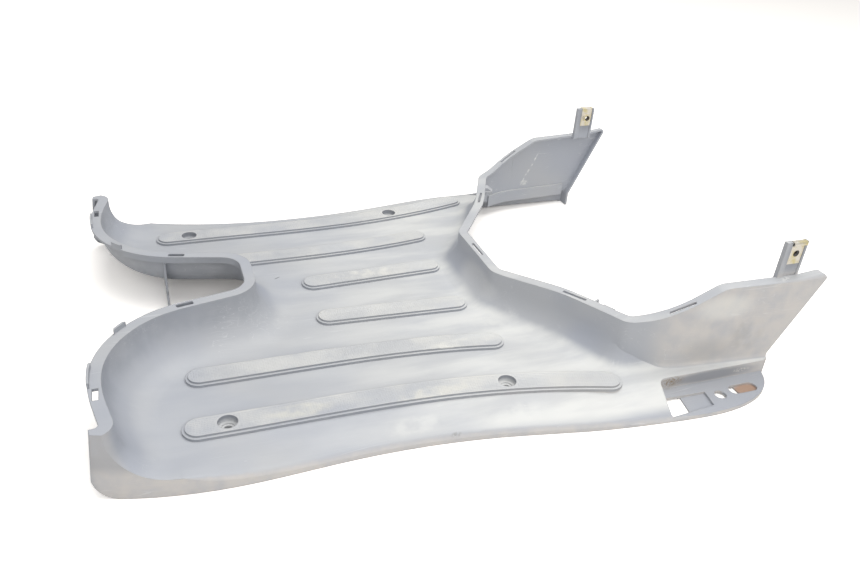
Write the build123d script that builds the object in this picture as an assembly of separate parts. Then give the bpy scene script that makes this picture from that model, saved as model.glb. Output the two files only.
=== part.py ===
import os

from build123d import *

# Driving dimensions, in millimetres. X runs to the rear from the front bolt line,
# Y to the rider's right and Z up from the top of the floor.
wall = 2.5  # moulded wall all over
flange_width = 10.0  # rim flange, from its wall to its free edge
skirt_foot = -16.5  # lower edge of the skirt
front_rim = 44.0  # height of the rim round the front lobes and the notch
rear_rim = 38.0  # height of the rim across the front of the rear opening
bend_rim = 44.0  # height of the rim where the diagonals meet the wings
wing_top = 82.0  # height of the wings where their top begins

# Front wall: a notch for the steering column between two lobes
front_end = -102.0  # foot of the front face
front_lean = 2.2  # how far the face leans back at its rim
corner_foot = -101.5  # front end of each corner wall at its foot and at its rim
corner_rim = -95.0
front_foot_radius = 20.0
front_corner_radius = 12.0
notch_end = 47.0
notch_half = 36.4
notch_corner = 30.0
lobe_front = -86.0
lobe_slant = 1.0
lobe_inner = 67.0
lobe_sweep = 86.0
lobe_width = 83.0
lobe_ease = 120.0
side_wall = 203.5
side_corner = -76.0
side_corner_radius = 13.5
front_cove = 38.0

# Rear wall: a straight front, two diagonals and two wings
rear_wall = 276.0
rear_half = 45.5
rear_corner = 20.0
diagonal_knee = (322.5, 106.0)
diagonal_ease = 150.0
bend = (354.0, 171.5)
bend_radius = 20.0
wing_knee = (395.0, 191.0)
wing_ease = 100.0
wing_end = (600.0, 207.4)
rear_cove = 26.0
wing_cove = 5.0
cove_runout = (600.0, 160.0)

# Wing seen from the side
wing_rise_foot = 366.3
wing_rise_head = 435.4
wing_waist = (515.0, 84.7)
wing_tip = (543.5, 89.2)
wing_foot_rear = 500.5
rim_dip_radius = 30.0
bend_rise_radius = 60.0
wing_rise_radius = 80.0
wing_head_radius = 25.0
wing_waist_radius = 60.0
wing_tip_radius = 4.0
wing_start_rise = 1.0
shoulder_front = 396.0  # the rounding of the wing's outer top edge fades out here
shoulder_radius = 6.0
shoulder_ease = 0.15  # keeps the rounding just clear of the flat top and wall

# Outer edge of the floor: stations along X with the half width, fall of the margin and edge rounding there
edge_stations = (
    (-38.0, 212.3, 0.02, 0.6),
    (5.0, 215.0, 5.2, 5.0),
    (52.0, 213.4, 8.0, 5.0),
    (100.0, 211.5, 8.5, 5.0),
    (156.0, 213.0, 8.5, 5.0),
    (212.0, 219.0, 8.5, 5.0),
    (256.0, 226.7, 8.7, 5.0),
    (299.0, 234.5, 9.0, 5.0),
    (345.0, 240.2, 10.0, 5.0),
    (390.0, 244.0, 12.3, 0.6),
)
edge_front_half = 197.0
pad_rear = (450.0, 241.0)
pad_round = (482.0, 226.5)
pad_tail = (497.0, 203.2)  # the outline then runs straight back, just outside the wings
margin_width = 36.0
edge_run_out = 0.3  # the rounded edge ends this far outside the outline

# Raised tread strips: centre line points and width
strip_height = 4.25
strip_step = 2.4
strip_border = 2.2
centre_strip = ((113.0, 33.5), (180.0, 36.5), (242.0, 39.5))
middle_strip = ((-14.5, 98.0), (100.0, 98.0), (190.0, 102.0), (251.0, 110.5))
outer_strip = ((-22.0, 163.5), (100.0, 164.0), (184.0, 167.5), (251.0, 176.5), (328.0, 195.0))
centre_strip_width = 25.0
middle_strip_width = 24.5
outer_strip_width = 26.0

# Floor bolts
bolt_seats = ((0.0, 163.5), (238.2, 173.8))
seat_radius = 8.0
bolt_hole_radius = 3.5
seat_depth = 6.0
seat_step_radius = 5.5
seat_step_depth = 1.2

# Rim slots: middle, angle in plan and length
slot_width = 2.8
diagonal_slot = (331.8, 114.5, 60.4, 25.0)
wing_slot = (399.2, 185.4, 16.0, 22.0)
centre_slot = (281.0, 2.4, 90.0, 26.0)
notch_slot = (-19.0, 46.0, -13.0)
notch_slot_size = (15.0, 5.0)
notch_slot_corner = 1.5
lobe_hole = (-91.0, 155.0)
lobe_hole_size = (4.6, 14.0)

# Foot pads at the rear corners
pad_drop = 12.5
pocket_drop = 2.5
pocket_sheet = 1.5  # floor of the pockets, flush with the foot of the skirt
pad_wall_front = (377.0, 203.5)
pad_wall_rear = (520.0, 205.0)
pad_front_edge = (364.5, 262.0)
pad_corner = 9.0
pocket_corners = ((375.5, 216.0), (421.0, 217.5), (417.5, 236.0), (370.0, 240.3))
pocket_window = ((350.0, 210.0), (396.5, 210.0), (389.5, 245.0), (350.0, 245.0))
round_hole = (433.0, 225.0)
round_hole_radius = 5.5
oval_middle = (460.5, 222.5)
oval_size = (30.0, 12.0)
oval_window = 9.0

# Hooks, catches, ears and lips along the rims, gussets and bands behind the walls
hook_profile = ((8.0, -1.0), (17.0, -1.0), (17.0, -4.5), (14.0, -3.5), (8.0, -6.5))
hook_station = 42.0
hook_thickness = 1.8
catch_profile = ((8.0, -0.6), (13.0, -0.6), (19.0, -4.5), (19.0, -8.0), (8.0, -8.0))
catch_station = 28.5
catch_width = 9.0
ear_spots = ((-70.5, 75.5, 13.0), (-96.0, 134.0, 26.0))  # middle in plan and length
ear_height = 4.8
ear_thickness = 1.8
lip_depth = 7.0
lip_front = -68.0
lip_half = 75.0
gusset_x = -31.0
gusset_inner = 45.5
gusset_outer = 114.5
gusset_foot = -12.0
band_thickness = 2.0
band_height = 13.0
band_front = 374.0
band_rear = 492.0

# Fixing tabs on the wings
tab_setback = 27.3  # from the tip of the wing
tab_width = 24.0
tab_height = 34.8
tab_front_rail = 6.2
tab_rear_rail = 2.6
tab_depth = 4.4
tab_plate = 1.8
tab_overhang = 1.0  # middle of the plate, inside the free edge of the wing's flange
nut_width = 14.4
nut_height = 23.5
nut_sheet = 0.8
nut_fold_radius = 1.6
nut_hole_radius = 3.0
nut_hole_drop = 12.0
nut_clear = 0.3
nut_collar = 3.8
nut_collar_radius = 4.6

# Places worked out from the sizes above, some clear of the part for cuts that run right through
lobe_outer = lobe_inner + lobe_width
reach = 1.5 * side_wall
sky = 2 * wing_top
deep = 4 * skirt_foot
ahead = 1.5 * front_end
mid_floor = rear_wall / 2
wing_slope = (wing_end[1] - wing_knee[1]) / (wing_end[0] - wing_knee[0])


def mirrored(half):
    return half + mirror(half, Plane.XZ)


def grown(face, width):
    return offset(face, width, kind=Kind.INTERSECTION)


def slab(face, low, high):
    # A flat face in plan, made solid between two heights.
    return extrude(Pos(0, 0, low) * face, high - low)


def wing_wall(x):
    # Where the outer face of the wing's wall stands, measured across from the middle of the board.
    return wing_knee[1] + wing_slope * (x - wing_knee[0])


def plan(front, rear):
    # The space above the floor in plan: each item is a corner point and its rounding.
    half = front + [((ahead, reach), 0), ((wing_end[0], reach), 0)] + rear
    corners = half + [((x, -y), r) for (x, y), r in reversed(half)]
    return make_face(FilletPolyline(*[c[0] for c in corners], radius=[c[1] for c in corners], close=True))


front_corners = [
    ((notch_end, notch_half), notch_corner),
    ((lobe_front, lobe_inner), lobe_sweep),
    ((lobe_front - lobe_slant, lobe_outer), lobe_ease),
    ((side_corner, side_wall), side_corner_radius),
    ((ahead, side_wall), 0),
]
diagonal_corners = [
    (bend, bend_radius),
    (diagonal_knee, diagonal_ease),
    ((rear_wall, rear_half), rear_corner),
]
wing_corners = [(wing_end, 0), (wing_knee, wing_ease)]

deck_plan = plan(front_corners, wing_corners + diagonal_corners)
cove_plan = plan([((ahead, side_wall), 0)], [(cove_runout, 0)] + diagonal_corners)


def walled_space(face, grow, coves):
    # Space standing on the floor, its foot rounded ahead of and behind the middle of the floor.
    space = extrude(Pos(0, 0, -grow) * grown(face, grow), sky)
    for behind, radius in coves.items():
        foot = [
            edge
            for edge in space.edges().group_by(Axis.Z)[0]
            if (edge.center().X > mid_floor) == behind and abs(edge.center().Y) < side_wall + 2 * wall
        ]
        space = fillet(foot, radius + grow)
    return space


def deck_space(grow):
    # The rear cove runs out along the wings, where only a small rounding is left.
    whole = walled_space(deck_plan, grow, {False: front_cove, True: wing_cove})
    return whole & walled_space(cove_plan, grow, {True: rear_cove})


def front_at(height):
    return front_end + front_lean * (height - skirt_foot) / (front_rim - skirt_foot)


def side_face(foot):
    # The part seen from the side: leaning front, front rim, rear rim, rising wings and their raked rear edge.
    corners = [
        ((front_at(foot), foot), 0 if foot < skirt_foot else front_foot_radius),
        ((front_at(front_rim), front_rim), 0),
        ((mid_floor, front_rim), 0),
        ((mid_floor, rear_rim), 0),
        ((rear_wall + flange_width, rear_rim), rim_dip_radius),
        ((bend[0] - flange_width, bend_rim), bend_rise_radius),
        ((wing_rise_foot, bend_rim + wing_start_rise), wing_rise_radius),
        ((wing_rise_head, wing_top), wing_head_radius),
        (wing_waist, wing_waist_radius),
        (wing_tip, wing_tip_radius),
        ((wing_foot_rear, 0), 0),
        ((wing_foot_rear, foot), 0),
    ]
    edge = FilletPolyline(*[c[0] for c in corners], radius=[c[1] for c in corners], close=True)
    return make_face(Plane.XZ * edge)


def edge_plan(grow):
    # Outline of the floor and pads set in by grow, with room behind for the raked wings.
    stations = [(x, half_width) for x, half_width, fall, rounding in edge_stations]
    points = [(front_end, edge_front_half), *stations, pad_rear, pad_round, pad_tail]
    edge = Spline(*points)
    runs = [edge.tangent_at(Vector(*point)) for point in points]
    inset = [Vector(*point) + grow * Vector(run.Y, -run.X) for point, run in zip(points, runs)]
    inset[0] += Vector(grow, 0)
    right = Spline(*inset)
    left = mirror(right, Plane.XZ)
    nose = Line(left @ 0, right @ 0)
    tail_half = (right @ 1).Y
    tail = Polyline(right @ 1, (wing_end[0], tail_half), (wing_end[0], -tail_half), left @ 1)
    outline = make_face(right + left + nose + tail)
    return fillet(outline.vertices().group_by(Axis.X)[0], front_corner_radius - grow)


def front_corner(grow):
    # What a raked face takes off each front corner. It meets the front face at the rim of the lobe.
    foot = Vector(corner_foot, edge_front_half, skirt_foot)
    rim = Vector(corner_rim, edge_front_half, front_rim)
    lobe = Vector(front_at(front_rim), lobe_outer, front_rim)
    outward = (lobe - rim).cross(rim - foot).normalized()
    face = Plane(origin=rim - grow * outward, z_dir=outward)
    return mirrored(extrude(face * Rectangle(reach, reach), reach))


def margin(grow):
    # Sloping outer margin of the floor with its rounded edge, fading out towards the front.
    sections = []
    for x, half_width, fall, rounding in edge_stations:
        near = half_width - margin_width
        far = half_width + flange_width
        bend_start = Vector(half_width - rounding, -fall)
        bend_end = bend_start + Vector(rounding + edge_run_out, -rounding)
        slope = TangentArc(bend_start, bend_end, tangent=bend_start - Vector(near, 0))
        above = [(far, bend_end.Y), (far, flange_width), (near, flange_width), (near, 0)]
        rest = Polyline(bend_end, *above, bend_start)
        across = Plane(origin=(x, -grow, -grow), x_dir=(0, 1, 0), z_dir=(1, 0, 0))
        sections.append(make_face(across * (slope + rest)))
    return mirrored(loft(sections))


def wing_shoulder(grow):
    # What the rounded outer top edge of each wing takes off. The rounding belongs to a block that leaves
    # the wall towards the front, so that it fades out where the wing begins to rise.
    tip_x = wing_tip[0]
    start = Vector(shoulder_front, wing_wall(shoulder_front) + shoulder_radius)
    end = Vector(tip_x, wing_wall(tip_x) + shoulder_ease)
    along = (end - start).normalized()
    inward = Vector(along.Y, -along.X)
    frame = Plane(origin=start + grow * inward, x_dir=along, z_dir=inward)
    rise = (wing_top - bend_rim - wing_start_rise) / (wing_rise_head - wing_rise_foot)
    tip_rise = (wing_tip[1] - wing_waist[1]) / (tip_x - wing_waist[0])
    run = (end - start).length
    top = [
        (-run, wing_top - rise * (wing_rise_head - shoulder_front + run)),
        (wing_rise_head - shoulder_front, wing_top),
        (wing_waist[0] - shoulder_front, wing_waist[1]),
        (2 * run, wing_tip[1] + tip_rise * run),
    ]
    lifted = [(s, z + shoulder_ease - grow) for s, z in top]
    edge = FilletPolyline(*lifted, radius=[wing_head_radius - grow, wing_waist_radius])
    under = Polyline(edge @ 1, (2 * run, deep), (-run, deep), edge @ 0)
    block = extrude(frame * make_face(edge + under), 2 * flange_width)
    outer_edges = [e for e in block.edges() if abs((e.center() - frame.origin).dot(inward)) < wall]
    block = fillet([e for e in outer_edges if e.center().Z > bend_rim], shoulder_radius - grow)
    over = Pos(run / 2, sky / 2 + front_rim) * Rectangle(run + 2 * flange_width, sky)
    return mirrored(extrude(frame * over, 2 * flange_width, both=True) - block)


def pad_recess(grow):
    outline = FilletPolyline(
        pad_front_edge,
        pad_wall_front,
        pad_wall_rear,
        (pad_wall_rear[0], reach),
        (pad_front_edge[0], reach),
        radius=[0, pad_corner, 0, 0, 0],
        close=True,
    )
    return mirrored(extrude(Pos(0, 0, -pad_drop - grow) * grown(make_face(outline), grow), 2 * pad_drop))


def skin(grow):
    # One closed body under the upper surface, set in by grow.
    foot = deep if grow else skirt_foot
    block = extrude(grown(side_face(foot), -grow), reach, both=True)
    block &= slab(edge_plan(grow), deep, sky)
    block -= front_corner(grow)
    return block - deck_space(grow) - margin(grow) - pad_recess(grow) - wing_shoulder(grow)


outer = skin(0)
inner = skin(wall)
board = (outer - inner) & slab(grown(deck_plan, flange_width), deep, sky)


def beside_walls(near, far):
    # Plan of a strip that follows the walls, between two distances from their inner face.
    return grown(deck_plan, far) - grown(deck_plan, near)


def ribbon(points, width):
    # Strip of even width along a smooth line, with round ends.
    line = Spline(*points)
    ends = [Pos(point.X, point.Y) * Circle(width / 2) for point in (line @ 0, line @ 1)]
    return trace(line, width) + ends


# Tread strips, raised in two steps and hollow below
for points, width in (
    (centre_strip, centre_strip_width),
    (middle_strip, middle_strip_width),
    (outer_strip, outer_strip_width),
):
    crown = width - 2 * strip_border
    board += mirrored(slab(ribbon(points, width), -wall, strip_step))
    board += mirrored(slab(ribbon(points, crown), 0, strip_height))
    board -= mirrored(slab(trace(Spline(*points), crown - 2 * wall), -3 * wall, strip_height - wall))

# Bolt seats sunk into the outer strips, each with a boss below
for x, y in bolt_seats:
    floor_of_seat = strip_height - seat_depth
    at = Pos(x, y)
    board += mirrored(slab(at * Circle(seat_radius + wall), floor_of_seat - 2 * wall, strip_height))
    board -= mirrored(slab(at * Circle(seat_radius), floor_of_seat, sky))
    board -= mirrored(slab(at * Circle(seat_step_radius), floor_of_seat - seat_step_depth, sky))
    board -= mirrored(slab(at * Circle(bolt_hole_radius), deep, sky))

# Slots and holes in the rim flange
def rim_slot(x, y, angle, length):
    return slab(Pos(x, y) * Rot(0, 0, angle) * Rectangle(length, slot_width), under_rim, sky)


under_rim = rear_rim - 2 * wall
for slot in (diagonal_slot, wing_slot):
    board -= mirrored(rim_slot(*slot))
board -= rim_slot(*centre_slot)
notch_hole = RectangleRounded(*notch_slot_size, notch_slot_corner)
board -= slab(Pos(*notch_slot[:2]) * Rot(0, 0, notch_slot[2]) * notch_hole, under_rim, sky)
board -= mirrored(slab(Pos(*lobe_hole) * Rectangle(*lobe_hole_size), under_rim, sky))

# Pockets in the foot pads, each open through at its front end
pocket_floor = -pad_drop - pocket_drop
pocket = make_face(Polyline(*pocket_corners, close=True))
pocket_front = make_face(Polyline(*pocket_window, close=True))
oval = Pos(*oval_middle) * SlotOverall(*oval_size)
oval_end = Pos(oval_middle[0] - oval_size[0] / 2, oval_middle[1])
oval_front = oval_end * Rectangle(2 * oval_window, oval_size[1])
for face, window in ((pocket, pocket & pocket_front), (oval, oval & oval_front)):
    board += mirrored(slab(grown(face - window, wall), pocket_floor - pocket_sheet, -pad_drop))
    board -= mirrored(slab(face, pocket_floor, 0))
    board -= mirrored(slab(window, deep, 0))
board -= mirrored(slab(Pos(*round_hole) * Circle(round_hole_radius), deep, 0))

# Turned-down lip round the notch and a stiffening band inside the foot of each wing
lip = beside_walls(flange_width - wall, flange_width)
lip &= Pos((lip_front + notch_end) / 2, 0) * Rectangle(notch_end - lip_front, 2 * lip_half)
board += slab(lip, front_rim - lip_depth, front_rim - wall / 2)
band = beside_walls(wall / 2, wall + band_thickness)
band &= Pos((band_front + band_rear) / 2, wing_knee[1]) * Rectangle(band_rear - band_front, 4 * flange_width)
board += mirrored(slab(band, -wall, band_height))

# Gusset under each side of the notch
gusset_middle = Pos(gusset_x, (gusset_inner + gusset_outer) / 2)
gusset_face = gusset_middle * Rectangle(wall, gusset_outer - gusset_inner)
board += mirrored(slab(gusset_face, gusset_foot, front_rim) & inner)

# Hooks and catches on the free edge of the diagonals
along = (Vector(*bend) - Vector(*diagonal_knee)).normalized()
edge_frame = Plane(origin=(*bend, bend_rim), x_dir=(along.Y, -along.X, 0), z_dir=-along)
hook_face = make_face(Polyline(*hook_profile, close=True))
catch_face = make_face(Polyline(*catch_profile, close=True))
for face, station, thickness in (
    (hook_face, hook_station, hook_thickness),
    (catch_face, catch_station, catch_width),
):
    board += mirrored(extrude(edge_frame * Pos(0, 0, station) * face, thickness / 2, both=True))

# Two ears standing on the free edge of each lobe
free_edge = beside_walls(flange_width - ear_thickness, flange_width)
for x, y, length in ear_spots:
    ear = free_edge & (Pos(x, y) * Rectangle(length, length))
    board += mirrored(slab(ear, front_rim - wall / 2, front_rim + ear_height))

# Fixing tabs on the wings: a plate between two rails
tab_rear = wing_tip[0] - tab_setback
tab_front = tab_rear - tab_width
tab_middle = tab_rear - tab_width / 2
plate_y = wing_wall(tab_middle) - flange_width - tab_overhang
tab_root = wing_waist[1] - 2 * wall
tab_top = wing_waist[1] + tab_height
tab = slab(Pos(tab_middle, plate_y) * Rectangle(tab_width, tab_plate), tab_root, tab_top)
for rail_middle, rail in (
    (tab_front + tab_front_rail / 2, tab_front_rail),
    (tab_rear - tab_rear_rail / 2, tab_rear_rail),
):
    tab += slab(Pos(rail_middle, plate_y) * Rectangle(rail, tab_depth), tab_root, tab_top)
nut_x = tab_rear - tab_rear_rail - nut_clear - nut_width / 2
bore = Pos(nut_x, plate_y, tab_top - nut_hole_drop) * Rot(90, 0, 0)
tab -= bore * Cylinder(nut_hole_radius + nut_clear, 2 * tab_depth)
board += mirrored(tab)

# Spring nut: a folded sheet over the top of the tab, with a threaded collar on its inner leaf
leaf = tab_plate / 2 + nut_sheet
sheet = Rectangle(2 * leaf, nut_height)
sheet = fillet(sheet.vertices().group_by(Axis.Y)[-1], nut_fold_radius)
sheet -= Pos(0, -nut_sheet / 2) * Rectangle(tab_plate, nut_height - nut_sheet)
nut_middle = (nut_x, plate_y, tab_top + nut_sheet - nut_height / 2)
nut_plane = Plane(origin=nut_middle, x_dir=(0, 1, 0), z_dir=(1, 0, 0))
nut = extrude(nut_plane * sheet, nut_width / 2, both=True)
collar_start = leaf - nut_sheet
nut += bore * Pos(0, 0, collar_start + nut_collar / 2) * Cylinder(nut_collar_radius, nut_collar)
nut -= bore * Cylinder(nut_hole_radius, 2 * (collar_start + nut_collar))

# The part stands on its skirt, with its origin under the middle of its box
box = board.bounding_box()
seat = Pos(-(box.min.X + box.max.X) / 2, 0, -box.min.Z)
os.makedirs("parts", exist_ok=True)
nodes = {"floorboard": board, "clip_nut_right": nut, "clip_nut_left": mirror(nut, Plane.XZ)}
for name, solid in nodes.items():
    print(name, round(solid.volume), solid.is_valid, len(solid.solids()))
    export_step(seat * solid, f"parts/{name}.step")
print("origin moved by", seat.position)
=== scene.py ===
import bmesh
import bpy
import numpy as np
from mathutils import Matrix, Vector


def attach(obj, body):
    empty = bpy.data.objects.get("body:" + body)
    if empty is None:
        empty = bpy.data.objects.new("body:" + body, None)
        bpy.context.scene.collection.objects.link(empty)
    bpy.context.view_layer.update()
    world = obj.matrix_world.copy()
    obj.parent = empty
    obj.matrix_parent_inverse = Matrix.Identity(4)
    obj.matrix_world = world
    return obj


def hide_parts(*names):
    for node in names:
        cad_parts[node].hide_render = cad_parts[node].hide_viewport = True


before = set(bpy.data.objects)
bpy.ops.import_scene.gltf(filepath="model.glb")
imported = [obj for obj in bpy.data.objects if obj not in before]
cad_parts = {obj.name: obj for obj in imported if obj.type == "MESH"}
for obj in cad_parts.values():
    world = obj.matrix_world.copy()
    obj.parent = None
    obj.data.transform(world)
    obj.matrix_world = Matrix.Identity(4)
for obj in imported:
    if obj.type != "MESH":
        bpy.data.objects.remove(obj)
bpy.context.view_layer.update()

mm = 0.001
floorZero = np.array([-220.116, 0.0, 16.5])  # front bolt line, on top of the floor, in the frame's mm
bevelSamples = 6
print("stage 1: frame loaded,", ", ".join(sorted(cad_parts)))


def linearColour(hexText):
    # sRGB hex to linear: c / 12.92 below 0.04045, else ((c + 0.055) / 1.055) ** 2.4
    srgb = np.array([int(hexText[i:i + 2], 16) for i in (1, 3, 5)]) / 255
    linear = np.where(srgb <= 0.04045, srgb / 12.92, ((srgb + 0.055) / 1.055) ** 2.4)
    return (*linear.tolist(), 1.0)


def addNode(tree, kind, settings=None, links=None):
    # settings are node properties or unlinked inputs, links are inputs fed by another node's output
    node = tree.nodes.new(kind)
    for name, value in (settings or {}).items():
        if isinstance(name, int) or name in node.inputs:
            node.inputs[name].default_value = value
        else:
            setattr(node, name, value)
    for name, socket in (links or {}).items():
        tree.links.new(socket, node.inputs[name])
    return node


def newMaterial(name):
    material = bpy.data.materials.new(name)
    material.use_nodes = True
    material.node_tree.nodes.clear()
    return material, material.node_tree


def floorPlaces(tree):
    # object coordinates turned to mm from the front bolt line and the top of the floor
    coords = addNode(tree, "ShaderNodeTexCoord")
    return addNode(tree, "ShaderNodeMapping", {
        "Scale": (1 / mm, 1 / mm, 1 / mm),
        "Location": tuple(-floorZero),
    }, {"Vector": coords.outputs["Object"]})


def newPiece(name, points, faces, material):
    mesh = bpy.data.meshes.new(name)
    mesh.from_pydata((points * mm).tolist(), [], faces.tolist())
    mesh.materials.append(material)
    piece = bpy.data.objects.new(name, mesh)
    bpy.context.scene.collection.objects.link(piece)
    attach(piece, "root")


# The board: injection moulded polypropylene with a fine spark-eroded grain. It gives a dull, faintly
# blue grey with soft wide highlights, hazed white where shoes rub and rounded pale at worn edges.
# Painted light pales what faces up towards the rear, and painted shade darkens the strip sides and front walls.
stripTop = (("height", 3.2, 3.9, 0.0), ("height", 6.0, 5.0, 0.0), ("faceUp", 0.985, 0.998, 0.0))
board = {
    "coolGrey": "#b1b5be",
    "warmGrey": "#babcc0",
    "noises": {
        # size in mm and detail
        "tone": (110.0, 2.0),
        "mottle": (16.0, 4.0),
        "streaks": (26.0, 4.0),
        "rubbing": (38.0, 3.0),
        "fineRag": (2.0, 3.0),
        "middleRag": (5.0, 3.0),
        "broadRag": (13.0, 3.0),
        "grain": (1.1, 2.0),  # the real grain is about 0.3 and would not show
    },
    "streakStretch": 4.0,
    "layers": {
        # each is a product of eased ramps: what it follows, where it starts and ends, and how low it starts
        "blend": (("tone", 0.35, 0.65, 0.0),),
        "fine": (("fineRag", 0.36, 0.64, 0.0),),
        "middle": (("middleRag", 0.36, 0.64, 0.0),),
        "broad": (("broadRag", 0.36, 0.64, 0.0),),
        "stripTop": stripTop,
        # worn edges, where the rounded normal leaves the flat one
        "edgeWear": (("edgeTurn", 0.96, 0.8, 0.0), ("mottle", 0.3, 0.6, 0.0), ("stripTop", 1.0, 0.0, 0.0)),
        # dust on the outward sides of the skirt and wings, below the tabs
        "sideDust": (("outward", 0.35, 0.9, 0.0), ("apart", 178.0, 192.0, 0.0), ("height", 92.0, 84.0, 0.0),
                     ("mottle", 0.2, 0.75, 0.4)),
        # haze of shoe rub on what faces up, with painted light mixed in, both thicker to the rear
        "hazeAndLight": (("faceUp", 0.72, 0.96, 0.0), ("height", -11.5, -7.0, 0.0), ("height", 20.0, 5.0, 0.6),
                 ("along", 10.0, 285.0, 0.27), ("streaks", 0.34, 0.68, 0.5)),
        # polished tops of the strips, in patches
        "stripWear": (*stripTop, ("rubbing", 0.35, 0.68, 0.0)),
        # painted shade down the sides of the strips and at their feet
        "stripSideShade": (("faceUp", 0.75, 0.3, 0.0), ("height", -0.6, 0.2, 0.0), ("height", 4.8, 4.3, 0.0),
                      ("along", 350.0, 340.0, 0.0), ("along", -46.0, -40.0, 0.0)),
        # painted shade on the steep front walls, mottled
        "frontWallShade": (("faceUp", 0.75, 0.3, 0.0), ("height", 3.0, 16.0, 0.0), ("along", 90.0, 30.0, 0.0),
                      ("mottle", 0.25, 0.7, 0.5)),
    },
    "coats": {
        # colour and strength, laid over each other in this order
        "edgeWear": ("#dddedc", 0.6),
        "sideDust": ("#d6d1cc", 0.9),
        # rub haze and painted light on up-facing surfaces
        "hazeAndLight": ("#f1f1ed", 0.85),
        "stripWear": ("#edebe3", 0.5),
        # painted shade on the strip sides
        "stripSideShade": ("#8f9299", 0.6),
        # painted shade on the front walls
        "frontWallShade": ("#9a9ea6", 0.6),
        "scratches": ("#eff0f0", 0.22),
    },
    "grainHeight": 0.00005,  # metres
    "grainStrength": 0.5,
    "roughness": (0.44, 0.66),
    "ior": 1.49,
    "edgeRound": 0.0014,  # metres, how far the moulded edges look rounded
}

# Scratches: level lines of a noise stretched far along each direction, kept in patches
scratch = {
    "size": (150.0, 1.7),  # mm along and across
    "waves": 0.35,  # waves of the noise in one such length
    "level": 0.5,
    "width": 0.006,  # how near to the level a line still shows
    "turns": ((0.35, 60.0), (-0.6, 80.0), (1.9, 100.0)),  # radians, and mm of the patches that keep the lines
    "tilt": 0.4,  # share of the turn that also tips them
    "shift": (7.0, 3.0),  # lengths that part one direction's noise from the next
    "patch": (0.54, 0.62),
}

# Specks: dots round the cells of a Voronoi pattern, each cell with its own grey
speck = {
    "spacing": 26.0,  # mm
    "radius": 0.5,
    "core": 0.6,  # share of the radius that is full
    "greys": ("#6c6a68", "#f2f2f0"),
}

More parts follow.
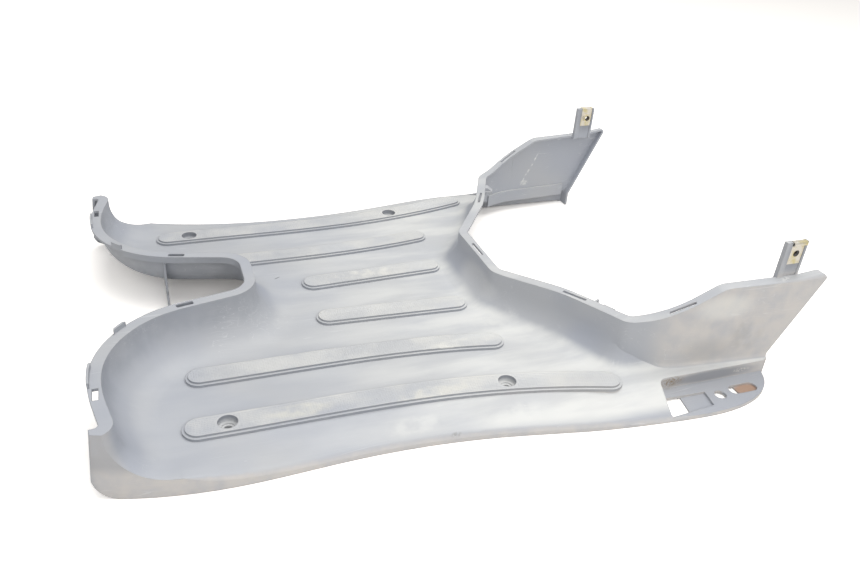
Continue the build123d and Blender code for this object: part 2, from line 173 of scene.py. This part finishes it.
# Marks: place and half size in mm, turn in radians, colour, strength and the layer that makes it ragged
marks = (
    # nicks in the deck
    ((78.5, 54.6, 0.0), (4.5, 0.8, 2.0), (0, 0, 0.5), "#6f7176", 0.9, None),
    ((55.7, 95.2, 0.0), (3.2, 0.7, 2.0), (0, 0, -0.3), "#787a7e", 0.8, None),
    # painted shade on the recess walls above the pads, under the ledge, and on the tabs behind the clip nuts
    ((434.0, -205.0, -6.5), (66.0, 4.0, 8.0), (0, 0, 0), "#9a9ca2", 0.85, None),
    ((434.0, 205.0, -6.5), (66.0, 4.0, 8.0), (0, 0, 0), "#9a9ca2", 0.85, None),
    ((506.0, -188.7, 108.0), (16.0, 8.0, 26.0), (0, 0, 0), "#9699a2", 0.75, None),
    ((506.0, 188.7, 108.0), (16.0, 8.0, 26.0), (0, 0, 0), "#9699a2", 0.75, None),
    # earth, a scuff and rust stain at the left pad
    ((392.0, -205.0, -6.0), (19.0, 3.0, 8.0), (0, 0, 0), "#937b58", 0.8, "fine"),
    ((471.0, -204.6, -6.4), (13.0, 3.0, 3.0), (0, 0, 0), "#e0ddd6", 0.8, "fine"),
    ((465.0, -222.0, -15.0), (19.0, 9.0, 1.8), (0, 0, 0), "#bb967b", 0.85, None),
    # scrapes inside the right wing and on the left wing's shoulder
    ((437.0, 192.0, 41.0), (29.0, 3.0, 1.7), (0, -1.107, 0), "#eeeeec", 0.95, "middle"),
    ((430.0, 192.0, 21.0), (8.0, 3.0, 5.0), (0, 0, 0), "#e6e6e2", 0.7, "fine"),
    ((476.0, 193.0, 78.0), (5.0, 3.0, 4.0), (0, 0, 0), "#ededea", 0.7, "middle"),
    ((500.0, -194.0, 83.6), (9.0, 4.0, 2.0), (0, 0, 0.3), "#f2f2f0", 0.8, "fine"),
    # dirt and pale rub along the left margin
    ((175.0, -213.5, -9.0), (7.0, 4.0, 3.0), (0, 0, 0.2), "#8f8d88", 0.6, "fine"),
    ((16.0, -216.5, -6.0), (16.0, 4.0, 4.0), (0, 0, 0), "#a39a8c", 0.6, "middle"),
    ((145.0, -198.0, -5.0), (34.0, 13.0, 6.0), (0, 0, 0.1), "#f0f0ec", 0.35, "broad"),
    ((238.0, -205.0, -6.0), (40.0, 14.0, 8.0), (0, 0, 0.2), "#f2f2ee", 0.35, "broad"),
    # yellowed rub on the left outer strip, pale rub before the rear wall
    ((57.0, -165.0, 4.3), (34.0, 11.0, 1.5), (0, 0, 0), "#eae7da", 0.5, "broad"),
    ((176.0, -170.0, 4.3), (52.0, 11.0, 1.5), (0, 0, 0.1), "#eeebdf", 0.45, "broad"),
    ((276.0, -80.0, 0.0), (44.0, 30.0, 14.0), (0, 0, 0), "#eeeeea", 0.35, "broad"),
    # dull and pale patches of the left wing
    ((469.0, -198.5, 30.0), (26.0, 6.0, 24.0), (0, 0.5, 0), "#a19d96", 0.25, "broad"),
    ((412.0, -196.0, 40.0), (30.0, 8.0, 26.0), (0, 0, 0), "#d3d0cb", 0.35, "broad"),
    ((420.0, -198.0, 16.0), (52.0, 9.0, 20.0), (0, 0, 0), "#a5a39f", 0.3, None),
    ((434.0, -197.0, 62.0), (44.0, 9.0, 18.0), (0, 0, 0), "#f4f4ee", 0.35, None),
    # two more strip tops; painted light on the foot of the rear wall and in the left bolt seats
    ((215.0, -112.0, 4.3), (46.0, 11.0, 1.5), (0, 0, 0.1), "#f2f0e8", 0.6, "broad"),
    ((176.0, 36.0, 4.3), (56.0, 11.0, 1.5), (0, 0, 0), "#eeece4", 0.6, "broad"),
    ((270.0, -20.0, 14.0), (30.0, 46.0, 20.0), (0, 0, 0), "#e2e2e0", 0.45, None),
    ((0.0, -163.5, -2.0), (13.0, 13.0, 6.0), (0, 0, 0), "#e3e3e1", 0.7, None),
    ((238.2, -173.8, -2.0), (13.0, 13.0, 6.0), (0, 0, 0), "#eeeeec", 0.8, None),
)
markFade = (1.0, 0.45)  # share of the half size where a mark begins and is full


def boardValues(tree, place, surface, rounded):
    # what the layers follow: place, facing, noises, and the layers before them
    at = addNode(tree, "ShaderNodeSeparateXYZ", {}, {0: place.outputs[0]})
    facing = addNode(tree, "ShaderNodeSeparateXYZ", {}, {0: surface.outputs["Normal"]})
    edgeTurn = addNode(tree, "ShaderNodeVectorMath", {"operation": "DOT_PRODUCT"}, {
        0: rounded,
        1: surface.outputs["Normal"],
    })
    side = addNode(tree, "ShaderNodeMath", {"operation": "SIGN"}, {0: at.outputs["Y"]})
    outward = addNode(tree, "ShaderNodeMath", {"operation": "MULTIPLY"}, {
        0: facing.outputs["Y"],
        1: side.outputs[0],
    })
    apart = addNode(tree, "ShaderNodeMath", {"operation": "ABSOLUTE"}, {0: at.outputs["Y"]})
    values = {
        "along": at.outputs["X"],
        "apart": apart.outputs[0],
        "height": at.outputs["Z"],
        "faceUp": facing.outputs["Z"],
        "outward": outward.outputs[0],
        "edgeTurn": edgeTurn.outputs["Value"],
    }
    lengthways = addNode(tree, "ShaderNodeMapping", {"Scale": (1 / board["streakStretch"], 1.0, 1.0)}, {
        0: place.outputs[0],
    })
    for noise, (size, detail) in board["noises"].items():
        lie = lengthways if noise == "streaks" else place
        values[noise] = addNode(tree, "ShaderNodeTexNoise", {"Scale": 1 / size, "Detail": detail}, {
            "Vector": lie.outputs[0],
        }).outputs["Fac"]
    for layer, ramps in board["layers"].items():
        total = None
        for source, start, end, low in ramps:
            ramp = addNode(tree, "ShaderNodeMapRange", {
                "interpolation_type": "SMOOTHSTEP",
                "From Min": start,
                "From Max": end,
                "To Min": low,
            }, {"Value": values[source]})
            total = ramp if total is None else addNode(tree, "ShaderNodeMath", {"operation": "MULTIPLY"}, {
                0: total.outputs[0],
                1: ramp.outputs[0],
            })
        values[layer] = total.outputs[0]
    return values


def scratchLines(tree, place):
    scratches = None
    length, across = scratch["size"]
    for number, (angle, patchSize) in enumerate(scratch["turns"]):
        lie = addNode(tree, "ShaderNodeMapping", {
            "Rotation": (angle, scratch["tilt"] * angle, angle),
            "Scale": (1 / length, 1 / across, 1 / across),
            "Location": (scratch["shift"][0] * number, scratch["shift"][1], 0.0),
        }, {0: place.outputs[0]})
        wave = addNode(tree, "ShaderNodeTexNoise", {"Scale": scratch["waves"], "Detail": 0.0}, {
            "Vector": lie.outputs[0],
        })
        line = addNode(tree, "ShaderNodeMath", {
            "operation": "COMPARE",
            1: scratch["level"],
            2: scratch["width"],
        }, {0: wave.outputs["Fac"]})
        spread = addNode(tree, "ShaderNodeTexNoise", {"Scale": 1 / patchSize, "Detail": 2.0}, {
            "Vector": place.outputs[0],
        })
        patch = addNode(tree, "ShaderNodeMapRange", {
            "interpolation_type": "SMOOTHSTEP",
            "From Min": scratch["patch"][0],
            "From Max": scratch["patch"][1],
        }, {"Value": spread.outputs["Fac"]})
        kept = addNode(tree, "ShaderNodeMath", {"operation": "MULTIPLY"}, {
            0: line.outputs[0],
            1: patch.outputs[0],
        })
        scratches = kept if scratches is None else addNode(tree, "ShaderNodeMath", {"operation": "MAXIMUM"}, {
            0: scratches.outputs[0],
            1: kept.outputs[0],
        })
    return scratches.outputs[0]


def boardColour(tree, place, values):
    # two greys blended, then the coats, the specks and the marks laid over each other
    colour = addNode(tree, "ShaderNodeMix", {
        "data_type": "RGBA",
        6: linearColour(board["coolGrey"]),
        7: linearColour(board["warmGrey"]),
    }, {0: values["blend"]})
    for coat, (hexText, strength) in board["coats"].items():
        thin = addNode(tree, "ShaderNodeMath", {"operation": "MULTIPLY", 1: strength}, {0: values[coat]})
        colour = addNode(tree, "ShaderNodeMix", {"data_type": "RGBA", 7: linearColour(hexText)}, {
            0: thin.outputs[0],
            6: colour.outputs[2],
        })

    cells = addNode(tree, "ShaderNodeTexVoronoi", {"Scale": 1 / speck["spacing"]}, {"Vector": place.outputs[0]})
    reach = speck["radius"] / speck["spacing"]
    dots = addNode(tree, "ShaderNodeMapRange", {
        "interpolation_type": "SMOOTHSTEP",
        "From Min": reach,
        "From Max": speck["core"] * reach,
    }, {"Value": cells.outputs["Distance"]})
    grey = addNode(tree, "ShaderNodeValToRGB", {}, {0: cells.outputs["Color"]})
    for stop, hexText in zip(grey.color_ramp.elements, speck["greys"]):
        stop.color = linearColour(hexText)
    colour = addNode(tree, "ShaderNodeMix", {"data_type": "RGBA"}, {
        0: dots.outputs[0],
        6: colour.outputs[2],
        7: grey.outputs[0],
    })

    for middle, half, angles, hexText, strength, ragged in marks:
        # an ellipsoid round the mark, full in its middle and nothing at its edge
        local = addNode(tree, "ShaderNodeMapping", {
            "vector_type": "TEXTURE",
            "Location": middle,
            "Rotation": angles,
            "Scale": half,
        }, {0: place.outputs[0]})
        away = addNode(tree, "ShaderNodeVectorMath", {"operation": "LENGTH"}, {0: local.outputs[0]})
        inside = addNode(tree, "ShaderNodeMapRange", {
            "interpolation_type": "SMOOTHSTEP",
            "From Min": markFade[0],
            "From Max": markFade[1],
            "To Max": strength,
        }, {"Value": away.outputs["Value"]})
        if ragged:
            inside = addNode(tree, "ShaderNodeMath", {"operation": "MULTIPLY"}, {
                0: inside.outputs[0],
                1: values[ragged],
            })
        colour = addNode(tree, "ShaderNodeMix", {"data_type": "RGBA", 7: linearColour(hexText)}, {
            0: inside.outputs[0],
            6: colour.outputs[2],
        })
    return colour.outputs[2]


def mouldedPlastic(name, roundEdges):
    material, tree = newMaterial(name)
    place = floorPlaces(tree)
    surface = addNode(tree, "ShaderNodeNewGeometry")
    rounded = surface.outputs["Normal"]
    if roundEdges:
        rounded = addNode(tree, "ShaderNodeBevel", {
            "samples": bevelSamples,
            "Radius": board["edgeRound"],
        }).outputs[0]
    values = boardValues(tree, place, surface, rounded)
    values["scratches"] = scratchLines(tree, place)
    dullness = addNode(tree, "ShaderNodeMapRange", {
        "To Min": board["roughness"][0],
        "To Max": board["roughness"][1],
    }, {"Value": values["mottle"]})
    relief = addNode(tree, "ShaderNodeBump", {
        "Strength": board["grainStrength"],
        "Distance": board["grainHeight"],
    }, {
        "Height": values["grain"],
        "Normal": rounded,
    })
    shader = addNode(tree, "ShaderNodeBsdfPrincipled", {"IOR": board["ior"]}, {
        "Base Color": boardColour(tree, place, values),
        "Roughness": dullness.outputs[0],
        "Normal": relief.outputs[0],
    })
    addNode(tree, "ShaderNodeOutputMaterial", {}, {"Surface": shader.outputs[0]})
    return material


# The clip nuts: stamped spring steel, zinc plated and yellow passivated. It gives a satin cream metal
# with yellow patches, a brushed rolling direction and brown rust round the hole.
clip = {
    "zinc": "#eee8dd",
    "passivation": "#e4d8ab",
    "rust": "#5f5447",
    "patchSize": 7.0,  # mm
    "yellowRun": (0.42, 0.62),
    "rollSize": (0.5, 9.0),  # mm across and along the rolling lines
    "rollHeight": 0.00003,  # metres
    "rollStrength": 0.3,
    "roughness": (0.38, 0.58),
    "metallic": 0.85,
    "holes": {"Right": (506.1, 185.936, 107.5), "Left": (506.1, -185.936, 107.5)},
    "boreReach": 1000.0,  # mm, far past both ends of the bore
    "rustReach": (3.0, 3.5),  # mm from the hole's axis
    "rustGrain": 1.111,  # mm
    "rustRun": (0.3, 0.5),
    "edgeRound": 0.0003,  # metres
}


def platedSteel():
    material, tree = newMaterial("zinc plated spring steel")
    place = floorPlaces(tree)
    patch = addNode(tree, "ShaderNodeTexNoise", {"Scale": 1 / clip["patchSize"], "Detail": 3.0}, {
        "Vector": place.outputs[0],
    })
    yellow = addNode(tree, "ShaderNodeMapRange", {
        "From Min": clip["yellowRun"][0],
        "From Max": clip["yellowRun"][1],
    }, {0: patch.outputs["Fac"]})
    colour = addNode(tree, "ShaderNodeMix", {
        "data_type": "RGBA",
        6: linearColour(clip["zinc"]),
        7: linearColour(clip["passivation"]),
    }, {0: yellow.outputs[0]})
    grime = addNode(tree, "ShaderNodeTexNoise", {"Scale": 1 / clip["rustGrain"], "Detail": 4.0}, {
        "Vector": place.outputs[0],
    })
    spots = addNode(tree, "ShaderNodeMapRange", {
        "From Min": clip["rustRun"][0],
        "From Max": clip["rustRun"][1],
    }, {0: grime.outputs["Fac"]})
    for middle in clip["holes"].values():
        # rust ring: distance from the bore's axis, which runs along Y
        local = addNode(tree, "ShaderNodeMapping", {
            "vector_type": "TEXTURE",
            "Location": middle,
            "Scale": (1.0, clip["boreReach"], 1.0),
        }, {0: place.outputs[0]})
        away = addNode(tree, "ShaderNodeVectorMath", {"operation": "LENGTH"}, {0: local.outputs[0]})
        ring = addNode(tree, "ShaderNodeMapRange", {
            "From Min": clip["rustReach"][1],
            "From Max": clip["rustReach"][0],
        }, {0: away.outputs["Value"]})
        ragged = addNode(tree, "ShaderNodeMath", {"operation": "MULTIPLY"}, {
            0: ring.outputs[0],
            1: spots.outputs[0],
        })
        colour = addNode(tree, "ShaderNodeMix", {"data_type": "RGBA", 7: linearColour(clip["rust"])}, {
            0: ragged.outputs[0],
            6: colour.outputs[2],
        })
    lines = addNode(tree, "ShaderNodeMapping", {
        "Scale": (1 / clip["rollSize"][0], 1.0, 1 / clip["rollSize"][1]),
    }, {0: place.outputs[0]})
    rolled = addNode(tree, "ShaderNodeTexNoise", {"Scale": 1.0, "Detail": 2.0}, {"Vector": lines.outputs[0]})
    dullness = addNode(tree, "ShaderNodeMapRange", {
        "To Min": clip["roughness"][0],
        "To Max": clip["roughness"][1],
    }, {0: rolled.outputs["Fac"]})
    rounded = addNode(tree, "ShaderNodeBevel", {"samples": bevelSamples, "Radius": clip["edgeRound"]})
    relief = addNode(tree, "ShaderNodeBump", {
        "Strength": clip["rollStrength"],
        "Distance": clip["rollHeight"],
    }, {
        "Height": rolled.outputs["Fac"],
        "Normal": rounded.outputs[0],
    })
    shader = addNode(tree, "ShaderNodeBsdfPrincipled", {"Metallic": clip["metallic"]}, {
        "Base Color": colour.outputs[2],
        "Roughness": dullness.outputs[0],
        "Normal": relief.outputs[0],
    })
    addNode(tree, "ShaderNodeOutputMaterial", {}, {"Surface": shader.outputs[0]})
    return material


plastic = mouldedPlastic("worn moulded polypropylene", True)
knurledPlastic = mouldedPlastic("worn knurled polypropylene", False)  # its pyramids are finer than a rounded edge
steel = platedSteel()
for nodeName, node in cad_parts.items():
    node.data.materials.clear()
    node.data.materials.append(plastic if nodeName == "floorboard" else steel)
print("stage 2: materials on the board and its clip nuts")

# Left slot beside the notch, the twin of the right one, in mm from the floor's own zero
notchSlot = {
    "middle": (-19.0, -46.0),
    "turn": 13.0,  # degrees in plan
    "length": 15.0,
    "width": 5.0,
    "corner": 1.5,
    "from": 30.0,
    "to": 70.0,
    "steps": 32,
    "weld": 0.001,
    "sharp": 24.0,  # degrees, edges that turn further stay crisp
    "flatWeight": 100,  # how far large faces lead the shading
}


def slotCutter():
    # a rounded oblong in plan, straight sides and quarter circles, carried up from below the rim
    angle = (np.arange(notchSlot["steps"]) + 0.5) * 2 * np.pi / notchSlot["steps"]
    circle = np.column_stack([np.cos(angle), np.sin(angle)])
    reach = np.array([notchSlot["length"], notchSlot["width"]]) / 2 - notchSlot["corner"]
    outline = np.sign(circle) * reach + circle * notchSlot["corner"]
    turn = np.radians(notchSlot["turn"])
    axes = np.array([[np.cos(turn), np.sin(turn)], [-np.sin(turn), np.cos(turn)]])
    plan = outline @ axes + np.array(notchSlot["middle"])
    ends = [np.column_stack([plan, np.full(len(plan), notchSlot[end])]) for end in ("from", "to")]
    start = np.arange(notchSlot["steps"])
    after = (start + 1) % notchSlot["steps"]
    sides = np.column_stack([start, after, after + notchSlot["steps"], start + notchSlot["steps"]])
    faces = sides.tolist() + [start[::-1].tolist(), (start + notchSlot["steps"]).tolist()]
    mesh = bpy.data.meshes.new("slotCutter")
    mesh.from_pydata(((np.concatenate(ends) + floorZero) * mm).tolist(), [], faces)
    return bpy.data.objects.new("slotCutter", mesh)


def slottedBoard():
    # a merged copy of the board with the slot cut through its rim, shaded by normals that its large faces lead
    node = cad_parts["floorboard"]
    merged = bmesh.new()
    merged.from_mesh(node.data)
    bmesh.ops.remove_doubles(merged, verts=merged.verts, dist=notchSlot["weld"] * mm)
    mesh = bpy.data.meshes.new("slottedBoard")
    merged.to_mesh(mesh)
    for layer in ("custom_normal", "sharp_edge", "sharp_face"):
        if layer in mesh.attributes:
            mesh.attributes.remove(mesh.attributes[layer])
    merged.free()
    piece = bpy.data.objects.new("slottedBoard", mesh)
    cutter = slotCutter()
    for thing in (piece, cutter):
        bpy.context.scene.collection.objects.link(thing)
    cut = piece.modifiers.new("cut", "BOOLEAN")
    cut.operation, cut.solver, cut.object = "DIFFERENCE", "EXACT", cutter
    depsgraph = bpy.context.evaluated_depsgraph_get()
    piece.data = bpy.data.meshes.new_from_object(piece.evaluated_get(depsgraph), depsgraph=depsgraph)
    piece.modifiers.clear()
    bpy.data.objects.remove(cutter)
    piece.data.materials.clear()
    piece.data.materials.append(plastic)
    piece.data.shade_smooth()
    piece.data.set_sharp_from_angle(angle=np.radians(notchSlot["sharp"]))
    shade = piece.modifiers.new("shade", "WEIGHTED_NORMAL")
    shade.keep_sharp, shade.weight = True, notchSlot["flatWeight"]
    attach(piece, "root")
    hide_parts("floorboard")


slottedBoard()
print("stage 3: left slot beside the notch")

# Knurl on top of the tread strips: rows of small blunt pyramids, in mm from the floor's own zero
knurl = {
    "pitch": 2.1,
    "foot": 1.75,
    "crown": 1.2,
    "rise": 0.13,
    "sunk": 0.15,
    "top": 4.25,  # flat top of the strips
    "edge": 0.9,  # kept clear along the strip's edge
    "seatClear": 9.6,
    "curveUnit": 100.0,  # mm, keeps the polynomial well scaled
    "curveSteps": 3000,
    "seats": ((0.0, 163.5), (238.2, 173.8)),
    "strips": (
        # centre line and half width of the flat top
        (((113.0, 33.5), (180.0, 36.5), (242.0, 39.5)), 10.3),
        (((-14.5, 98.0), (100.0, 98.0), (190.0, 102.0), (251.0, 110.5)), 10.05),
        (((-22.0, 163.5), (100.0, 164.0), (184.0, 167.5), (251.0, 176.5), (328.0, 195.0)), 10.8),
    ),
}


def knurlRows(points, half):
    # the centre line is one polynomial y(x) through the points, walked in even steps of its length;
    # rows stand square to it and end at the strip's round ends
    x, y = np.array(points).T
    curve = np.polyfit(x / knurl["curveUnit"], y, len(points) - 1)
    fine = np.linspace(x[0] - half, x[-1] + half, knurl["curveSteps"])
    line = np.column_stack([fine, np.polyval(curve, fine / knurl["curveUnit"])])
    length = np.concatenate([[0.0], np.cumsum(np.linalg.norm(np.diff(line, axis=0), axis=1))])
    walked = np.arange(knurl["pitch"] / 2, length[-1], knurl["pitch"])
    spots = np.column_stack([np.interp(walked, length, line[:, axis]) for axis in (0, 1)])
    ahead = np.gradient(spots, axis=0)
    ahead /= np.linalg.norm(ahead, axis=1, keepdims=True)
    aside = np.column_stack([-ahead[:, 1], ahead[:, 0]])
    count = int(half / knurl["pitch"])
    steps = np.arange(-count, count + 1) * knurl["pitch"]
    middles = spots[:, None, :] + steps[None, :, None] * aside[:, None, :]
    past = np.maximum(0.0, np.maximum(x[0] - spots[:, 0], spots[:, 0] - x[-1]))
    inside = np.hypot(past[:, None], steps[None, :]) < half - knurl["edge"]
    seats = np.array(knurl["seats"])
    clear = np.linalg.norm(middles[:, :, None, :] - seats, axis=3).min(axis=2) > knurl["seatClear"]
    kept = inside & clear
    return middles[kept], np.broadcast_to(ahead[:, None, :], middles.shape)[kept]


def treadKnurl():
    # a blunt pyramid: four foot corners and four crown corners, along and across the strip
    corners = np.array([[-1, -1], [1, -1], [1, 1], [-1, 1]]) / 2
    shape = np.concatenate([corners * knurl["foot"], corners * knurl["crown"]])
    heights = np.repeat([knurl["top"] - knurl["sunk"], knurl["top"] + knurl["rise"]], 4)
    sides = np.array([[0, 3, 2, 1], [4, 5, 6, 7], [0, 1, 5, 4], [1, 2, 6, 5], [2, 3, 7, 6], [3, 0, 4, 7]])
    rows = [knurlRows(points, half) for points, half in knurl["strips"]]
    middles, ahead = (np.concatenate(parts) for parts in zip(*rows))
    mirror = np.array([1.0, -1.0])
    middles = np.concatenate([middles, middles * mirror])
    ahead = np.concatenate([ahead, ahead * mirror])
    aside = np.column_stack([-ahead[:, 1], ahead[:, 0]])
    plan = middles[:, None, :] + shape[None, :, :1] * ahead[:, None, :] + shape[None, :, 1:] * aside[:, None, :]
    points = np.concatenate([plan, np.broadcast_to(heights[None, :, None], (len(plan), 8, 1))], axis=2)
    faces = sides[None] + 8 * np.arange(len(plan))[:, None, None]
    newPiece("treadKnurl", points.reshape(-1, 3) + floorZero, faces.reshape(-1, 4), knurledPlastic)


treadKnurl()
print("stage 4: knurl on the tread strips")

# Thread of the clip nuts, in mm from the floor's own zero
thread = {
    "length": 3.5,
    "pitch": 1.0,
    "root": 3.08,  # sunk just into the bore
    "crest": 2.55,
    "rootHalf": 0.42,
    "crestHalf": 0.08,
    "stepsPerTurn": 36,
    "runOut": 0.9,  # radians over which each end fades
    "tip": 0.02,  # share of the section left at the very end
}


def nutThread(name, middle):
    # a ridge on a helix: angle runs along it, and the closed four-point section shrinks at both ends
    turns = (thread["length"] - 2 * thread["rootHalf"]) / thread["pitch"]
    angle = np.linspace(0.0, 2 * np.pi * turns, int(turns * thread["stepsPerTurn"]))
    taper = np.clip(np.minimum(angle, angle[-1] - angle) / thread["runOut"], thread["tip"], 1.0)[:, None]
    radius = np.array([thread["root"], thread["crest"], thread["crest"], thread["root"]])
    radius = thread["root"] + (radius - thread["root"]) * taper
    offset = np.array([-thread["rootHalf"], -thread["crestHalf"], thread["crestHalf"], thread["rootHalf"]]) * taper
    lift = (angle / (2 * np.pi) - turns / 2)[:, None] * thread["pitch"] + offset
    points = np.stack([radius * np.cos(angle)[:, None], lift, radius * np.sin(angle)[:, None]], axis=2)
    start = 4 * np.arange(len(angle) - 1)[:, None]
    side = np.arange(4)[None]
    faces = np.stack([start + side, start + (side + 1) % 4, start + 4 + (side + 1) % 4, start + 4 + side], axis=2)
    caps = np.array([[3, 2, 1, 0], np.arange(4) + 4 * (len(angle) - 1)])
    faces = np.concatenate([faces.reshape(-1, 4), caps])[:, ::-1]
    newPiece(name, points.reshape(-1, 3) + np.array(middle) + floorZero, faces, steel)


for hand, hole in clip["holes"].items():
    nutThread("thread" + hand, hole)

# Rolled fold of the clip nuts, at the top of the outer leaf, in mm
fold = {
    "pieces": {"foldRight": ("clip_nut_right", 1), "foldLeft": ("clip_nut_left", -1)},
    "outer": 2.4,
    "sheet": 0.8,
    "proud": 0.4,  # middle of the roll outside the leaf
    "overhang": 0.3,  # wider than the leaf at each end
    "steps": 32,
}


def rolledFold(name, nutName, outward):
    # a short tube along X: its oblong section in x and radius is carried round a circle and closed
    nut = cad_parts[nutName]
    corners = np.array([nut.matrix_world @ Vector(corner) for corner in nut.bound_box]) / mm
    low, high = corners.min(axis=0), corners.max(axis=0)
    face = high[1] if outward > 0 else low[1]
    middle = np.array([0.0, face + outward * fold["proud"], high[2] - fold["outer"]])
    start, end = low[0] - fold["overhang"], high[0] + fold["overhang"]
    inner = fold["outer"] - fold["sheet"]
    along = np.array([start, end, end, start])
    radius = np.array([fold["outer"], fold["outer"], inner, inner])
    angle = np.linspace(0.0, 2 * np.pi, fold["steps"], endpoint=False)[:, None]
    points = np.stack([along + 0 * angle, radius * np.cos(angle), radius * np.sin(angle)], axis=2) + middle
    step = np.arange(fold["steps"])[:, None]
    after = (step + 1) % fold["steps"]
    side = np.arange(4)[None]
    turned = (side + 1) % 4
    faces = np.stack([4 * step + side, 4 * after + side, 4 * after + turned, 4 * step + turned], axis=2)
    newPiece(name, points.reshape(-1, 3), faces.reshape(-1, 4), steel)


for foldName, (nutName, outward) in fold["pieces"].items():
    rolledFold(foldName, nutName, outward)
print("stage 5: threads and folds of the clip nuts")

# White table: a pale matt sheet that keeps the soft shadow
table = {
    "half": 4.0,  # metres
    "white": "#f4f2ee",
    "seenWhite": (1.5, 1.46, 1.41, 1.0),  # camera rays only, brings the sheet up to white
    "lift": 0.09,  # camera rays only, keeps the deepest shadow pale
}


def whiteTable():
    corners = table["half"] * np.array([[-1, -1, 0], [1, -1, 0], [1, 1, 0], [-1, 1, 0]], float)
    mesh = bpy.data.meshes.new("table")
    mesh.from_pydata(corners.tolist(), [], [(0, 1, 2, 3)])
    sheet = bpy.data.objects.new("table", mesh)
    bpy.context.scene.collection.objects.link(sheet)
    material, tree = newMaterial("white matt table")
    rays = addNode(tree, "ShaderNodeLightPath")
    seen = rays.outputs["Is Camera Ray"]
    white = addNode(tree, "ShaderNodeMix", {
        "data_type": "RGBA",
        6: linearColour(table["white"]),
        7: table["seenWhite"],
    }, {0: seen})
    matt = addNode(tree, "ShaderNodeBsdfDiffuse", {}, {"Color": white.outputs[2]})
    lift = addNode(tree, "ShaderNodeMath", {"operation": "MULTIPLY", 1: table["lift"]}, {0: seen})
    glow = addNode(tree, "ShaderNodeEmission", {"Color": table["seenWhite"]}, {"Strength": lift.outputs[0]})
    shader = addNode(tree, "ShaderNodeAddShader", {}, {0: matt.outputs[0], 1: glow.outputs[0]})
    addNode(tree, "ShaderNodeOutputMaterial", {}, {"Surface": shader.outputs[0]})
    mesh.materials.append(material)


# Studio: an even white surround, a wide lamp overhead and a weaker one from the camera's side, in metres and watts
studio = {
    "surround": 0.44,
    "lamps": {
        "overheadLamp": {"at": (0.25, 0.0, 1.9), "size": 1.8, "watts": 23.5},
        "sideLamp": {"at": (0.0, -1.6, 1.0), "size": 1.2, "watts": 8.0},
    },
    "aim": (0.0, 0.0, 0.03),
}


def studioLight():
    world = bpy.data.worlds.new("white surround")
    bpy.context.scene.world = world
    world.use_nodes = True
    tree = world.node_tree
    tree.nodes.clear()
    rays = addNode(tree, "ShaderNodeLightPath")
    plain = addNode(tree, "ShaderNodeBackground", {"Color": (1, 1, 1, 1), "Strength": studio["surround"]})
    white = addNode(tree, "ShaderNodeBackground", {"Color": (1, 1, 1, 1), "Strength": 1.0})
    pick = addNode(tree, "ShaderNodeMixShader", {}, {
        0: rays.outputs["Is Camera Ray"],
        1: plain.outputs[0],
        2: white.outputs[0],
    })
    addNode(tree, "ShaderNodeOutputWorld", {}, {"Surface": pick.outputs[0]})
    for name, lamp in studio["lamps"].items():
        data = bpy.data.lights.new(name, "AREA")
        data.energy, data.size = lamp["watts"], lamp["size"]
        light = bpy.data.objects.new(name, data)
        light.location = lamp["at"]
        light.rotation_euler = (Vector(studio["aim"]) - light.location).to_track_quat("-Z", "Y").to_euler()
        bpy.context.scene.collection.objects.link(light)


whiteTable()
studioLight()
print("stage 6: table and light")

# Photo camera: place, lens and sensor width in mm, turn in radians
photoCamera = {
    "at": (-255.886, -644.50, 430.43),
    "yaw": 0.3907,  # from +Y towards +X
    "pitch": 0.5356,  # below the horizon
    "roll": 0.0793,
    "lens": 32.13,
    "sensor": 36.0,
}


def addCamera():
    # axes: ahead from yaw and pitch, right level with the table, then both turned by roll
    yaw, pitch, roll = (photoCamera[k] for k in ("yaw", "pitch", "roll"))
    ahead = np.array([np.sin(yaw) * np.cos(pitch), np.cos(yaw) * np.cos(pitch), -np.sin(pitch)])
    level = np.array([np.cos(yaw), -np.sin(yaw), 0.0])
    lift = np.cross(level, ahead)
    right = np.cos(roll) * level + np.sin(roll) * lift
    up = np.cos(roll) * lift - np.sin(roll) * level
    turn = np.eye(4)
    turn[:3, :3] = np.column_stack([right, up, -ahead])
    turn[:3, 3] = np.array(photoCamera["at"]) * mm
    data = bpy.data.cameras.new("photoCamera")
    data.lens, data.sensor_width = photoCamera["lens"], photoCamera["sensor"]
    camera = bpy.data.objects.new("photoCamera", data)
    bpy.context.scene.collection.objects.link(camera)
    camera.matrix_world = Matrix(turn.tolist())
    bpy.context.scene.camera = camera


addCamera()
bpy.context.scene.view_settings.view_transform = "Standard"
print("stage 7: camera")
